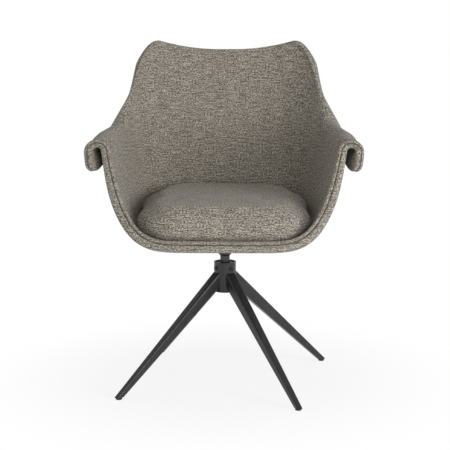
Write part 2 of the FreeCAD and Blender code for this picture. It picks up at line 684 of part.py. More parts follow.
def ring(rim, reach):
    """Points, normals and thicknesses at a share of the way out to the rim."""
    free = smooth_step((reach - FLAT_SHARE) / (FREE_SHARE - FLAT_SHARE))
    points, normals, thick = [], [], []
    for share, side in rim:
        share = CENTRE_SHARE + (share - CENTRE_SHARE) * reach
        side = side * reach
        point = skin_point(share, side)
        point.z = size("pan_height") + (point.z - size("pan_height")) * free
        normal = skin_normal(share, side) * free + Vector(0, 0, 1 - free)
        points.append(point)
        normals.append(normal.normalize())
        thick.append(thickness(side))
    return points, normals, thick


def rings(rim, last):
    """Rings from the flat middle of the pan out to a share of the rim."""
    steps = POLES_ACROSS - 1
    return [ring(rim, last - (last - FIRST_SHARE) * (1 - k / steps) ** 1.5) for k in range(steps + 1)]


def sunk(ring_data, share, offset):
    """A ring's points below the skin, by a share of the thickness and an offset."""
    points, normals, thick = ring_data
    return [p - n * (w * share + offset) for p, n, w in zip(points, normals, thick)]


def band(rows):
    """A closed strip round the bucket whose poles are rows from one edge to the other."""
    across, around = len(rows), len(rows[0])
    degree = min(3, across - 1)
    poles = [[row[k] for row in rows] for k in range(around)]
    spans = across - degree
    surface = Part.BSplineSurface()
    surface.buildFromPolesMultsKnots(
        poles, [1] * (around + 1), [degree + 1] + [1] * (spans - 1) + [degree + 1],
        [float(k) for k in range(around + 1)], [k / spans for k in range(spans + 1)],
        True, False, 3, degree)
    return surface.toShape()


def floor_of(rows):
    """The flat face inside the first row."""
    around = len(rows[0])
    curve = Part.BSplineCurve()
    knots = [float(k) for k in range(around + 1)]
    curve.buildFromPolesMultsKnots(rows[0], [1] * (around + 1), knots, True, 3)
    return Part.Face(Part.Wire([curve.toShape()]))


def closed_solid(faces):
    skin = Part.Compound(faces)
    skin.sewShape(0.0001)
    solid = Part.Solid(skin.Shells[0])
    if solid.Volume < 0:
        solid.reverse()
    return solid


def feature(name, shape):
    item = doc.addObject("Part::Feature", name)
    item.Shape = shape
    return item


RIM = rim_line()
SEAM_SHARE = 1 - size("seam_inset") / size("rim_reach")
LINING_SHARE = SEAM_SHARE - size("layer_gap") / size("rim_reach")
INNER_SHARE = size("inner_share")
BOARD_SHARE = INNER_SHARE + size("board_share")
HALF_GAP = size("layer_gap") / 2

lining_rings = rings(RIM, LINING_SHARE)
cavity_rings = rings(RIM, SEAM_SHARE)
cover_rings = rings(RIM, 1.0)


def layer(ring_set, top, bottom):
    """A closed layer between two depths, each a share of the thickness and an offset."""
    upper = [sunk(r, *top) for r in ring_set]
    lower = [sunk(r, *bottom) for r in ring_set]
    edge = [upper[-1], lower[-1]]
    return closed_solid([band(upper), band(lower), band(edge), floor_of(upper), floor_of(lower)])


inner_layer = layer(lining_rings, (0.0, 0.0), (INNER_SHARE, -HALF_GAP))
board_layer = layer(lining_rings, (INNER_SHARE, HALF_GAP), (BOARD_SHARE, -HALF_GAP))
inner_blank = feature("inner_blank", inner_layer)
board_blank = feature("board_blank", board_layer)


def outer_cover():
    """The outer padding, which wraps the rim and ends at the seam on the inside."""
    outside = [sunk(r, 1.0, 0.0) for r in cover_rings]
    inside = [sunk(r, BOARD_SHARE, HALF_GAP) for r in cavity_rings]
    rim_points, rim_normals, _ = cover_rings[-1]
    seam_points = cavity_rings[-1][0]
    count = len(rim_points)
    outward = []
    for k in range(count):
        along = rim_points[(k + 1) % count] - rim_points[k - 1]
        outward.append(along.cross(rim_normals[k]).normalize() * (size("rim_bulge") * 4 / 3))
    rounded = [rim_points, [p + o for p, o in zip(rim_points, outward)],
               [p + o for p, o in zip(outside[-1], outward)], outside[-1]]
    return closed_solid([band(outside), floor_of(outside), band(rounded), band([rim_points, seam_points]),
                         band([seam_points, inside[-1]]), band(inside), floor_of(inside)])


outer_blank = feature("outer_blank", outer_cover())

bolt_room = at_bolts("bolt_room", rod("bolt_room_rod", "sizes.bolt_across + 2 * sizes.bolt_play",
                                      PLATE_TOP + " - 1", "sizes.pad_thick / 2 + 1"))
barrel_room = at_bolts("barrel_room", rod("barrel_room_rod", "sizes.barrel_across",
                                          BARREL_FLOOR + " - 1", "sizes.pad_thick / 2"))
nut_room = at_bolts("nut_room", rod("nut_room_rod", "sizes.nut_across + 2 * sizes.bolt_play",
                                    BOARD_TOP + " - 1", "sizes.nut_thick + sizes.bolt_play + 1"))
node("outer_padding", cut("outer_drilled", outer_blank, bolt_room))
node("seat_board", cut("board_drilled", board_blank, barrel_room))
node("inner_padding", cut("inner_drilled", inner_blank, nut_room))

# Loose cushion: rounded sections that are drawn in at the seat, swell at the
# sides and close over a crown. Each row is the share of the height, then how far
# the sides, front and back are drawn in.

CUSHION_ROWS = (
    (0.00, 74.0, 126.0, 74.0),
    (0.08, 42.0, 44.0, 46.0),
    (0.20, 21.0, 11.0, 26.0),
    (0.38,  8.0,  0.0, 11.0),
    (0.58,  0.0,  2.0,  3.0),
    (0.76,  1.0, 10.0,  0.0),
    (0.90, 10.0, 27.0,  8.0),
    (0.97, 27.0, 56.0, 28.0),
    (1.00, 62.0, 98.0, 66.0),
)


def cushion_section(share, side_in, front_in, back_in):
    """A rounded rectangle of four lines, two round corners and two long ones."""
    half = size("cushion_half") - side_in
    front = -(size("cushion_front") - front_in)
    back = size("cushion_back") - back_in
    tighter = 0.35 * side_in
    fore = size("cushion_front_corner") - tighter
    aft = size("cushion_back_corner") - tighter
    run = size("cushion_back_run") - tighter
    clear = size("cushion_clear")
    level = size("pan_height") + clear + (size("cushion_high") - clear) * share
    corners = [[(half, back - run), (half, back), (half - aft, back)],
               [(aft - half, back), (-half, back), (-half, back - run)],
               [(-half, front + fore), (-half, front), (fore - half, front)],
               [(half - fore, front), (half, front), (half, front + fore)]]
    edges = []
    for k in range(4):
        corner = Part.BezierCurve()
        corner.setPoles([Vector(x, y, level) for x, y in corners[k]])
        corner.setWeight(2, cos(pi / 4))
        edges.append(corner.toShape())
        straight = [Vector(x, y, level) for x, y in (corners[k][2], corners[(k + 1) % 4][0])]
        edges.append(Part.LineSegment(*straight).toShape())
    return Part.Wire(edges)


cushion_loft = Part.makeLoft([cushion_section(*row) for row in CUSHION_ROWS], True, False, False, 2)
node("seat_cushion", feature("seat_cushion_pad", cushion_loft))

# Build, check and write every piece

doc.recompute()
broken = [item.Name for item in doc.Objects if "Invalid" in item.State or "Error" in item.State]
if broken:
    raise RuntimeError("failed objects: " + ", ".join(broken))

os.makedirs("parts", exist_ok=True)
for name, item in NODES.items():
    if item.Shape.isNull() or not item.Shape.isValid() or not item.Shape.Solids:
        raise RuntimeError("bad shape: " + name)
for name, item in NODES.items():
    item.Shape.exportStep("parts/%s.step" % name)
    box = item.Shape.BoundBox
    print("%-22s solids %d volume %10.1f  x %7.1f %7.1f  y %7.1f %7.1f  z %6.1f %6.1f" % (
        name, len(item.Shape.Solids), item.Shape.Volume,
        box.XMin, box.XMax, box.YMin, box.YMax, box.ZMin, box.ZMax))
print("nodes", len(NODES))
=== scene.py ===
import bmesh
import bpy
import math
import numpy as np
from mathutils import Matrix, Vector, noise
from mathutils.bvhtree import BVHTree


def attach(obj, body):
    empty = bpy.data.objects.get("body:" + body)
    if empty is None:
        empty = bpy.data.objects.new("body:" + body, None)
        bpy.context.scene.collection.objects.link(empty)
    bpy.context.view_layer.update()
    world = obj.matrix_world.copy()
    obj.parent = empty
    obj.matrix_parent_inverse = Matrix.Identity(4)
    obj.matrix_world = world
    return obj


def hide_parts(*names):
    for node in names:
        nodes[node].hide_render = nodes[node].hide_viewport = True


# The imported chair
# Every piece below is placed by the solids of this frame, in metres.

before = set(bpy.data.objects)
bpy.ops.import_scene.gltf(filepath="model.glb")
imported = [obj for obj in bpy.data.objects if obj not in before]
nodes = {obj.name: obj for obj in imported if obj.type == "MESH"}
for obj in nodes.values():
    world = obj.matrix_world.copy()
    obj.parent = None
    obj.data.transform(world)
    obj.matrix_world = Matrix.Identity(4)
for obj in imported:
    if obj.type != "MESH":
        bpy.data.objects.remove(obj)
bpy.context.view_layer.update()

# Camera
# A long lens at about a metre's height looks down ten degrees at the chair,
# which stands square to it apart from a one degree turn.

camera_data = bpy.data.cameras.new("camera")
camera = bpy.data.objects.new("camera", camera_data)
bpy.context.scene.collection.objects.link(camera)
bpy.context.scene.camera = camera
CAMERA_TURN = math.radians(1.0)
CAMERA_REACH = 3.3604
CAMERA_HEIGHT = 0.998
CAMERA_TILT = math.radians(90.0 - 10.116)
camera_data.sensor_width = 36.0
camera_data.lens = 109.3
camera_data.clip_end = 50.0
camera.location = (
    CAMERA_REACH * math.sin(CAMERA_TURN), -CAMERA_REACH * math.cos(CAMERA_TURN), CAMERA_HEIGHT)
camera.rotation_euler = (CAMERA_TILT, 0.0, CAMERA_TURN)

# Studio
# A pale seamless floor, a broad soft lamp from the right, a second one in front,
# a faint one on the left and an even pale room. The floor turns plain white away
# from the chair.


class Wire:
    """A value inside a material. Sums written with wires add Math nodes."""

    def __init__(self, tree, socket=None):
        self.tree = tree
        self.socket = socket

    def node(self, kind, settings, inputs, out=0):
        """Add a node, set it up, feed its sockets and return one of its outputs."""
        made = self.tree.nodes.new(kind)
        for name, value in settings.items():
            setattr(made, name, value)
        for key, value in inputs.items():
            if isinstance(value, Wire):
                self.tree.links.new(value.socket, made.inputs[key])
            else:
                made.inputs[key].default_value = value
        return Wire(self.tree, made.outputs[out])

    def maths(self, operation, *values):
        """A Math node that takes this wire first and then the other values."""
        return self.node("ShaderNodeMath", {"operation": operation}, dict(enumerate((self, *values))))

    def __add__(self, other):
        return self.maths("ADD", other)

    def __radd__(self, other):
        return self.node("ShaderNodeMath", {"operation": "ADD"}, {0: other, 1: self})

    def __sub__(self, other):
        return self.maths("SUBTRACT", other)

    def __rsub__(self, other):
        return self.node("ShaderNodeMath", {"operation": "SUBTRACT"}, {0: other, 1: self})

    def __mul__(self, other):
        return self.maths("MULTIPLY", other)

    def __rmul__(self, other):
        return self.node("ShaderNodeMath", {"operation": "MULTIPLY"}, {0: other, 1: self})

    def between(self, low, high):
        """0 below low, 1 above high and smooth between them."""
        return self.node("ShaderNodeMapRange", {"interpolation_type": "SMOOTHSTEP"},
                         {"Value": self, "From Min": low, "From Max": high})

    def blend(self, first, second):
        """One colour where this is 0 and another where it is 1."""
        return self.node("ShaderNodeMix", {"data_type": "RGBA"}, {0: self, 6: first, 7: second}, out=2)


def new_material(name):
    """An empty material and the wire that its nodes start from."""
    material = bpy.data.materials.new(name)
    material.use_nodes = True
    material.node_tree.nodes.clear()
    return material, Wire(material.node_tree)


def finish_material(material, surface):
    """Join the surface to the material's output."""
    output = material.node_tree.nodes.new("ShaderNodeOutputMaterial")
    material.node_tree.links.new(surface.socket, output.inputs["Surface"])
    return material


floor_material, start = new_material("studio_floor")
WHITE = (1.0, 1.0, 1.0, 1.0)
lit = start.node("ShaderNodeBsdfDiffuse", {}, {"Color": (0.9, 0.9, 0.9, 1.0)})
glow = start.node("ShaderNodeEmission", {}, {"Color": WHITE, "Strength": 1.0})
seen = start.node("ShaderNodeLightPath", {}, {}, out="Is Camera Ray")
mirrored = start.node("ShaderNodeLightPath", {}, {}, out="Is Glossy Ray")
place = start.node("ShaderNodeTexCoord", {}, {}, out="Object")
away = start.node("ShaderNodeVectorMath", {"operation": "LENGTH"}, {0: place}, out="Value")
NEAR_SHARE = 0.82
bright = NEAR_SHARE + away.between(0.2, 0.7) * (1 - NEAR_SHARE)
shown = start.node("ShaderNodeMixShader", {}, {0: (seen + mirrored) * bright, 1: lit, 2: glow})
finish_material(floor_material, shown)

floor_mesh = bpy.data.meshes.new("floor")
floor_mesh.from_pydata([(-12, -8, 0), (12, -8, 0), (12, 16, 0), (-12, 16, 0)], [], [(0, 1, 2, 3)])
floor_mesh.materials.append(floor_material)
floor = bpy.data.objects.new("floor", floor_mesh)
bpy.context.scene.collection.objects.link(floor)

world = bpy.data.worlds.new("room")
bpy.context.scene.world = world
world.use_nodes = True
world.node_tree.nodes.clear()
room = Wire(world.node_tree)
seen = room.node("ShaderNodeLightPath", {}, {}, out="Is Camera Ray")
even = room.node("ShaderNodeBackground", {}, {"Color": WHITE, "Strength": 0.5})
plain = room.node("ShaderNodeBackground", {}, {"Color": WHITE, "Strength": 1.0})
shown = room.node("ShaderNodeMixShader", {}, {0: seen, 1: even, 2: plain})
world_output = world.node_tree.nodes.new("ShaderNodeOutputWorld")
world.node_tree.links.new(shown.socket, world_output.inputs["Surface"])


def soft_lamp(name, place, wide, watts):
    """A square lamp that faces the middle of the chair."""
    data = bpy.data.lights.new(name, "AREA")
    data.size = wide
    data.energy = watts
    lamp = bpy.data.objects.new(name, data)
    lamp.location = place
    lamp.rotation_euler = (Vector((0.0, 0.0, 0.5)) - Vector(place)).to_track_quat("-Z", "Y").to_euler()
    bpy.context.scene.collection.objects.link(lamp)


soft_lamp("right_lamp", (2.3, -1.9, 1.15), 1.2, 46.0)
soft_lamp("front_lamp", (0.9, -3.0, 0.95), 0.9, 22.0)
soft_lamp("left_lamp", (-2.6, -0.8, 1.3), 1.5, 5.0)
bpy.context.scene.view_settings.view_transform = "Standard"

# Hub tube
# A turned steel sleeve, drilled and tapped for four screws. It is powder coated
# in satin black after the legs are welded on.


def coat(node_name, material):
    """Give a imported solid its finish."""
    nodes[node_name].data.materials.clear()
    nodes[node_name].data.materials.append(material)


def powder_coat(name, shade, rough):
    """A fine orange peel, cloudy gloss and a few specks of dust on the coat."""
    material, start = new_material(name)
    place = start.node("ShaderNodeTexCoord", {}, {}, out="Object")
    peel = start.node("ShaderNodeTexNoise", {}, {"Vector": place, "Scale": 900.0, "Detail": 2.0})
    cloud = start.node("ShaderNodeTexNoise", {}, {"Vector": place, "Scale": 35.0, "Detail": 3.0})
    dust = start.node("ShaderNodeTexNoise", {}, {"Vector": place, "Scale": 1400.0, "Detail": 1.0})
    bump = start.node("ShaderNodeBump", {}, {"Strength": 0.1, "Distance": 0.0003, "Height": peel})
    deep = (*[c * 0.8 for c in shade], 1.0)
    pale = (*[c * 1.25 for c in shade], 1.0)
    dusty = (*[c * 4.0 for c in shade], 1.0)
    colour = dust.between(0.7, 0.78).blend(cloud.between(0.3, 0.7).blend(deep, pale), dusty)
    surface = start.node("ShaderNodeBsdfPrincipled", {}, {
        "Base Color": colour, "Roughness": rough + (cloud - 0.5) * 0.12, "Normal": bump,
        "Specular IOR Level": 0.5})
    return finish_material(material, surface)


black_coat = powder_coat("black_coat", (0.016, 0.016, 0.016), 0.3)
coat("hub_tube", black_coat)

# Legs
# Four tapered steel tubes of rounded section, pressed from sheet and welded to
# the hub all round.

CORNERS = ("back_right", "back_left", "front_left", "front_right")
for corner in CORNERS:
    coat("leg_" + corner, black_coat)

# Leg welds
# A fillet bead runs round each leg's root on the hub. It was laid by hand, so
# its width and ripples vary a little under the coat.


def bead_tree():
    """Geometry nodes that turn an edge loop into a rippled weld bead."""
    tree = bpy.data.node_groups.new("weld_bead", "GeometryNodeTree")
    tree.interface.new_socket("Geometry", in_out="INPUT", socket_type="NodeSocketGeometry")
    tree.interface.new_socket("Bead radius", in_out="INPUT", socket_type="NodeSocketFloat")
    tree.interface.new_socket("Ripple", in_out="INPUT", socket_type="NodeSocketFloat")
    tree.interface.new_socket("Finish", in_out="INPUT", socket_type="NodeSocketMaterial")
    tree.interface.new_socket("Geometry", in_out="OUTPUT", socket_type="NodeSocketGeometry")
    given = tree.nodes.new("NodeGroupInput")
    path = tree.nodes.new("GeometryNodeMeshToCurve")
    even = tree.nodes.new("GeometryNodeResampleCurve")
    even.mode = "LENGTH"
    even.inputs["Length"].default_value = 0.0013
    profile = tree.nodes.new("GeometryNodeCurvePrimitiveCircle")
    profile.inputs["Resolution"].default_value = 8
    tube = tree.nodes.new("GeometryNodeCurveToMesh")
    tube.inputs["Fill Caps"].default_value = False
    ripple = tree.nodes.new("ShaderNodeTexNoise")
    ripple.inputs["Scale"].default_value = 420.0
    centred = tree.nodes.new("ShaderNodeMath")
    centred.operation = "SUBTRACT"
    centred.inputs[1].default_value = 0.5
    amount = tree.nodes.new("ShaderNodeMath")
    amount.operation = "MULTIPLY"
    facing = tree.nodes.new("GeometryNodeInputNormal")
    push = tree.nodes.new("ShaderNodeVectorMath")
    push.operation = "SCALE"
    moved = tree.nodes.new("GeometryNodeSetPosition")
    smooth = tree.nodes.new("GeometryNodeSetShadeSmooth")
    real = tree.nodes.new("GeometryNodeRealizeInstances")
    finish = tree.nodes.new("GeometryNodeSetMaterial")
    result = tree.nodes.new("NodeGroupOutput")
    link = tree.links.new
    link(given.outputs["Geometry"], path.inputs["Mesh"])
    link(path.outputs["Curve"], even.inputs["Curve"])
    link(even.outputs["Curve"], tube.inputs["Curve"])
    link(given.outputs["Bead radius"], profile.inputs["Radius"])
    link(profile.outputs["Curve"], tube.inputs["Profile Curve"])
    link(ripple.outputs[0], centred.inputs[0])
    link(centred.outputs[0], amount.inputs[0])
    link(given.outputs["Ripple"], amount.inputs[1])
    link(facing.outputs["Normal"], push.inputs[0])
    link(amount.outputs[0], push.inputs["Scale"])
    link(tube.outputs["Mesh"], moved.inputs["Geometry"])
    link(push.outputs["Vector"], moved.inputs["Offset"])
    link(moved.outputs["Geometry"], smooth.inputs["Geometry"])
    link(smooth.outputs["Geometry"], real.inputs["Geometry"])
    link(real.outputs["Geometry"], finish.inputs["Geometry"])
    link(given.outputs["Finish"], finish.inputs["Material"])
    link(finish.outputs["Geometry"], result.inputs["Geometry"])
    return tree


def weld_beads(name, loops, radius, ripple, body):
    """Beads along closed loops of points, made with the bead nodes and kept as a mesh."""
    points, edges = [], []
    for loop in loops:
        first = len(points)
        points += [tuple(p) for p in loop]
        edges += [(first + k, first + (k + 1) % len(loop)) for k in range(len(loop))]
    mesh = bpy.data.meshes.new(name + "_path")
    mesh.from_pydata(points, edges, [])
    piece = bpy.data.objects.new(name, mesh)
    bpy.context.scene.collection.objects.link(piece)
    nodes_tree = bead_tree()
    modifier = piece.modifiers.new("bead", "NODES")
    modifier.node_group = nodes_tree
    wanted = {"Bead radius": radius, "Ripple": ripple, "Finish": black_coat}
    for item in nodes_tree.interface.items_tree:
        if item.in_out == "INPUT" and item.name in wanted:
            modifier[item.identifier] = wanted[item.name]
    ready = piece.evaluated_get(bpy.context.evaluated_depsgraph_get())
    made = bpy.data.meshes.new_from_object(ready)
    made.name = name
    piece.modifiers.remove(modifier)
    piece.data = made
    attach(piece, body)


def leg_root(angle):
    """The leg's rounded outline where it meets the hub's round face."""
    half_wide, half_deep, corner, middle = 0.013, 0.0155, 0.005, 0.259
    hub_radius, fall = 0.0275, 0.899
    loop = []
    for quarter in range(4):
        for k in range(7):
            turn = (quarter + k / 6) * math.pi / 2
            side_x = (half_wide - corner) * (1 if quarter in (0, 3) else -1)
            side_z = (half_deep - corner) * (1 if quarter in (0, 1) else -1)
            across = side_x + corner * math.cos(turn)
            up = side_z + corner * math.sin(turn)
            out = math.sqrt(hub_radius ** 2 - across ** 2)
            height = middle + up - fall * (out - hub_radius)
            loop.append((out * math.cos(angle) - across * math.sin(angle),
                         out * math.sin(angle) + across * math.cos(angle), height))
    return loop


LEG_TURN = 35
BEAD_RADIUS = 0.0011
BEAD_RIPPLE = 0.0009
weld_beads("leg_welds", [leg_root(math.radians(LEG_TURN + 90 * k)) for k in range(4)],
           BEAD_RADIUS, BEAD_RIPPLE, "base")

# Leg plugs
# Moulded caps pressed into the open ends of the legs. They hold the glides.


def fine_grain(name, shade, rough, metal, grain, contrast=0.12, depth=0.1):
    """A moulded or machined finish, with a grain in its colour, gloss and surface."""
    material, start = new_material(name)
    place = start.node("ShaderNodeTexCoord", {}, {}, out="Object")
    fine = start.node("ShaderNodeTexNoise", {}, {"Vector": place, "Scale": grain, "Detail": 3.0})
    cloud = start.node("ShaderNodeTexNoise", {}, {"Vector": place, "Scale": 50.0, "Detail": 2.0})
    bump = start.node("ShaderNodeBump", {}, {"Strength": depth, "Distance": 0.0002, "Height": fine})
    mottle = (fine * 0.6 + cloud * 0.4).between(0.35, 0.65)
    deep = (*[c * (1 - contrast) for c in shade], 1.0)
    pale = (*[c * (1 + contrast) for c in shade], 1.0)
    surface = start.node("ShaderNodeBsdfPrincipled", {}, {
        "Base Color": mottle.blend(deep, pale), "Roughness": rough + (cloud - 0.5) * 0.15,
        "Metallic": metal, "Normal": bump})
    return finish_material(material, surface)


moulded_black = fine_grain("moulded_black", (0.02, 0.02, 0.02), 0.5, 0.0, 500.0)
for corner in CORNERS:
    coat("leg_plug_" + corner, moulded_black)

# Glides
# Small discs of hard black rubber on the plugs' studs, scuffed by the floor.

glide_rubber = fine_grain("glide_rubber", (0.02, 0.02, 0.02), 0.62, 0.0, 700.0, 0.3, 0.25)
for corner in CORNERS:
    coat("glide_" + corner, glide_rubber)

# Hub screws
# Four blackened button screws with hexagon sockets, above the legs.

blackened = fine_grain("blackened_steel", (0.035, 0.035, 0.038), 0.3, 0.7, 600.0)
coat("hub_screws", blackened)

# Hub cap
# A moulded black cap pushed into the hub's lower mouth.

coat("hub_bottom_cap", moulded_black)

# Bushes
# Two turned nylon bearings pressed into the hub. The upper one shows as a pale
# ring in the hub's mouth.

pale_nylon = fine_grain("pale_nylon", (0.78, 0.78, 0.75), 0.4, 0.0, 400.0, 0.05)
for name in ("upper_bush", "lower_bush"):
    coat(name, pale_nylon)

# Thrust washer
# A plated steel ring on the lower bush, which carries the spindle's shoulder.


def zinc_plate(name, shade):
    """Zinc plating: clear steel with faint turned rings and cloudy patches."""
    material, start = new_material(name)
    place = start.node("ShaderNodeTexCoord", {}, {}, out="Object")
    ring = start.node("ShaderNodeTexWave", {"wave_type": "RINGS", "rings_direction": "Z"}, {
        "Vector": place, "Scale": 160.0, "Distortion": 1.0, "Detail": 2.0})
    cloud = start.node("ShaderNodeTexNoise", {}, {"Vector": place, "Scale": 70.0, "Detail": 3.0})
    bump = start.node("ShaderNodeBump", {}, {"Strength": 0.12, "Distance": 0.0002, "Height": ring})
    colour = cloud.between(0.3, 0.7).blend((*[c * 0.85 for c in shade], 1.0), (*shade, 1.0))
    surface = start.node("ShaderNodeBsdfPrincipled", {}, {
        "Base Color": colour, "Roughness": 0.26 + cloud * 0.16, "Metallic": 1.0, "Normal": bump})
    return finish_material(material, surface)


zinc = zinc_plate("zinc_plate", (0.6, 0.6, 0.62))
coat("thrust_washer", zinc)

# Spindle
# A turned shaft with a dark satin coat. Fine lathe rings still show under it.


def turned_dark(name, shade, rough):
    """Dark coat over faint turned bands, with cloudy gloss."""
    material, start = new_material(name)
    place = start.node("ShaderNodeTexCoord", {}, {}, out="Object")
    lathe = start.node("ShaderNodeTexWave", {"bands_direction": "Z"}, {
        "Vector": place, "Scale": 260.0, "Distortion": 0.4, "Detail": 1.0})
    cloud = start.node("ShaderNodeTexNoise", {}, {"Vector": place, "Scale": 60.0, "Detail": 3.0})
    bump = start.node("ShaderNodeBump", {}, {"Strength": 0.15, "Distance": 0.0001, "Height": lathe})
    deep = (*[c * 0.8 for c in shade], 1.0)
    pale = (*[c * 1.2 for c in shade], 1.0)
    colour = cloud.between(0.3, 0.7).blend(deep, pale)
    surface = start.node("ShaderNodeBsdfPrincipled", {}, {
        "Base Color": colour, "Roughness": rough + (cloud - 0.5) * 0.1, "Metallic": 0.6, "Normal": bump})
    return finish_material(material, surface)


coat("spindle", turned_dark("dark_spindle", (0.06, 0.06, 0.062), 0.28))

# Keeper
# A plated washer and a blackened socket bolt in the spindle's lower end, which
# stop it from lifting out.

coat("keeper_washer", zinc)
coat("keeper_bolt", blackened)

# Seat plate
# A coated square steel plate, with a turned socket for the spindle and four
# gussets welded between them.

for name in ("seat_plate", "plate_socket", "plate_gussets"):
    coat(name, black_coat)

# Plate bolts
# Four blackened bolts on plated washers, in T-nuts that sit in the seat board.

coat("plate_bolts", blackened)
for name in ("plate_washers", "t_nuts"):
    coat(name, zinc)

# Seat board
# A moulded shell of beech ply between the paddings. Its veneer runs across.


def beech_ply(name):
    """Veneer with its grain drawn out across the seat."""
    material, start = new_material(name)
    place = start.node("ShaderNodeTexCoord", {}, {}, out="Object")
    drawn = start.node("ShaderNodeVectorMath", {"operation": "MULTIPLY"}, {0: place, 1: (6.0, 60.0, 60.0)})
    grain = start.node("ShaderNodeTexNoise", {}, {"Vector": drawn, "Scale": 3.0, "Detail": 5.0})
    bump = start.node("ShaderNodeBump", {}, {"Strength": 0.15, "Distance": 0.0004, "Height": grain})
    colour = grain.between(0.35, 0.65).blend((0.36, 0.22, 0.12, 1.0), (0.55, 0.39, 0.24, 1.0))
    surface = start.node("ShaderNodeBsdfPrincipled", {}, {
        "Base Color": colour, "Roughness": 0.55 + grain * 0.15, "Normal": bump})
    return finish_material(material, surface)


coat("seat_board", beech_ply("moulded_ply"))

# Bucket form
# The padded shell is swept along ten stations from the front edge to the top of
# the back. Each has the centre point and the crest, as y and height over the
# pan, the half width of the flat middle and at the crest, how full the curve
# between them is, the radius, turn and lip length of the outward roll.

PAN = 0.391
STATIONS = np.array((
    (-0.271, 0.012, -0.155, 0.215, 0.060, 0.275, 4.6, 0.026, 1.04, 0.052),
    (-0.210, 0.001, -0.115, 0.221, 0.100, 0.272, 4.4, 0.026, 1.10, 0.050),
    (-0.125, 0.000, -0.065, 0.227, 0.115, 0.268, 4.2, 0.025, 1.10, 0.045),
    (-0.005, 0.000, -0.005, 0.231, 0.115, 0.262, 4.0, 0.022, 1.04, 0.036),
    (0.105, 0.000, 0.055, 0.237, 0.105, 0.253, 3.8, 0.020, 0.94, 0.022),
    (0.195, 0.011, 0.095, 0.249, 0.080, 0.243, 3.4, 0.018, 0.78, 0.010),
    (0.221, 0.129, 0.135, 0.293, 0.050, 0.234, 2.9, 0.015, 0.50, 0.003),
    (0.231, 0.249, 0.163, 0.344, 0.040, 0.227, 2.5, 0.014, 0.24, 0.001),
    (0.247, 0.354, 0.193, 0.409, 0.030, 0.221, 2.2, 0.014, 0.10, 0.000),
    (0.265, 0.428, 0.219, 0.466, 0.020, 0.217, 2.0, 0.014, 0.05, 0.000),
))


def station_at(share):
    """The stations blended by a clamped cubic spline, one row for each share."""
    spans = len(STATIONS) - 3
    knots = np.array([0.0] * 3 + [k / spans for k in range(spans + 1)] + [1.0] * 3)
    share = np.clip(share, 0.0, 1.0)
    span = np.minimum((share * spans).astype(int), spans - 1) + 3
    weights = [np.ones_like(share)]
    for degree in range(1, 4):
        raised = [np.zeros_like(share) for _ in range(degree + 1)]
        for k in range(degree):
            left = knots[span - degree + 1 + k]
            right = knots[span + 1 + k]
            part = weights[k] / (right - left)
            raised[k] += (right - share) * part
            raised[k + 1] += (share - left) * part
        weights = raised
    return sum(w[:, None] * STATIONS[span - 3 + k] for k, w in enumerate(weights))


def cross_section(station):
    """Half sections from the centre to the lip, as points out and up."""
    flat, crest, full, roll, turn, lip = station[:, 4:].T[:, :, None]
    high = np.hypot(station[:, 2] - station[:, 0], station[:, 3] - station[:, 1])[:, None]
    wall_steps, roll_steps = 28, 12
    rise = (np.arange(1, wall_steps + 1) / wall_steps) ** 2
    wall_out = flat + (crest - flat) * rise ** (1 / full)
    wall_up = high * rise
    lean = np.arctan2(high, (crest - flat) / full)
    angle = lean - turn * (lean + math.pi / 2) * np.arange(1, roll_steps + 1) / roll_steps
    roll_out = crest + roll * np.sin(lean) - roll * np.sin(angle)
    roll_up = high - roll * np.cos(lean) + roll * np.cos(angle)
    end = angle[:, -1:]
    least_lip = 0.000001
    lip_out = roll_out[:, -1:] + (lip + least_lip) * np.cos(end)
    lip_up = roll_up[:, -1:] + (lip + least_lip) * np.sin(end)
    zero = np.zeros_like(flat)
    out = np.hstack([zero, flat, wall_out, roll_out, lip_out])
    up = np.hstack([zero, zero, wall_up, roll_up, lip_up])
    return out, up, high[:, 0]


def skin_point(share, side):
    """Points of the inner skin and their cloth length from the middle line. Share
    runs from the front to the top and side from -1 to 1."""
    share = np.asarray(share, float)
    side = np.asarray(side, float)
    station = station_at(share)
    out, up, high = cross_section(station)
    total = np.cumsum(np.hypot(np.diff(out), np.diff(up)), axis=1)
    total = np.hstack([np.zeros((len(share), 1)), total])
    wanted = np.minimum(np.abs(side), 1.0) * total[:, -1]
    k = np.clip((total < wanted[:, None]).sum(axis=1), 1, total.shape[1] - 1)
    row = np.arange(len(share))
    part = (wanted - total[row, k - 1]) / (total[row, k] - total[row, k - 1])
    at_out = out[row, k - 1] + (out[row, k] - out[row, k - 1]) * part
    rise = (up[row, k - 1] + (up[row, k] - up[row, k - 1]) * part) / high
    y = station[:, 0] + (station[:, 2] - station[:, 0]) * rise
    z = PAN + station[:, 1] + (station[:, 3] - station[:, 1]) * rise
    return np.stack([np.where(side < 0, -at_out, at_out), y, z], axis=1), wanted


def length_along(points):
    """The length of a line of points up to each of them."""
    steps = np.linalg.norm(np.diff(points, axis=0), axis=1)
    return np.concatenate([[0.0], np.cumsum(steps)])


AROUND = 400
LIP_CORNER = 0.028
TOP_CORNER = 0.050


